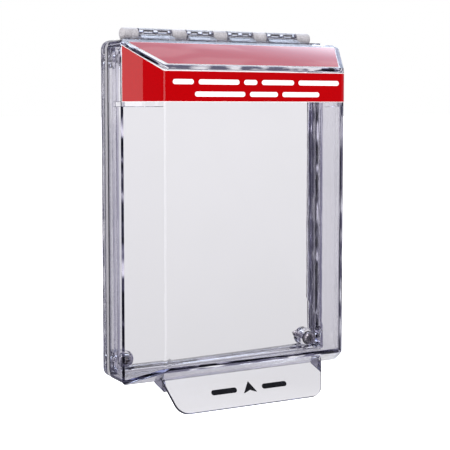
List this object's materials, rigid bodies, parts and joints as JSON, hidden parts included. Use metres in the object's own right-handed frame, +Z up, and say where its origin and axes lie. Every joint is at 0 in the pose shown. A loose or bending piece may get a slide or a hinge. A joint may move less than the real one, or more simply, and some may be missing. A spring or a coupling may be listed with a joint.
{
  "type": "manual call point lift cover",
  "caption": "Wall-mounted clear hinged lift cover for a manual call point, with a red label band, a seal, a hinge pin along the top and a lift tab at the foot.",
  "frame": {"origin": "middle of the four-screw pattern, on the wall plane", "axes": "+Y into the wall, +Z up towards the hinge, +X to the right seen from the front"},
  "size_m": [0.157, 0.0709, 0.2343],
  "materials": {
    "clear_frame": "clear polycarbonate, polished",
    "clear_cover": "clear polycarbonate, polished",
    "clear_leaf": "clear polycarbonate, polished",
    "clear_tab": "clear polycarbonate, polished",
    "frosted_nylon": "frosted, fine moulded grain",
    "gasket_clear": "soft clear silicone",
    "seal_rubber": "smooth black rubber",
    "washer_rubber": "smooth black rubber",
    "pin_steel": "drawn stainless steel",
    "screw_steel": "bright zinc-plated steel",
    "red_label": "gloss red vinyl film"
  },
  "bodies": {
    "frame": {"wall_gasket": "gasket_clear", "wall_frame": "clear_frame", "cover_seal": "seal_rubber", "hinge_rail": "frosted_nylon", "hinge_pin": "pin_steel", "pin_cap_left": "frosted_nylon", "pin_cap_right": "frosted_nylon", "frame_screws": "screw_steel", "screw_washers": "washer_rubber"},
    "cover": {"cover_shell": "clear_cover", "cover_hinge_leaf": "clear_leaf", "lift_tab": "clear_tab", "band_label": "red_label", "roof_label": "red_label"}
  },
  "joints": [
    {"name": "cover_hinge", "type": "hinge", "parent": "frame", "child": "cover", "pos_m": [0, -0.007, 0.109], "axis": [-1, 0, 0], "range_deg": [0, 115]}
  ]
}
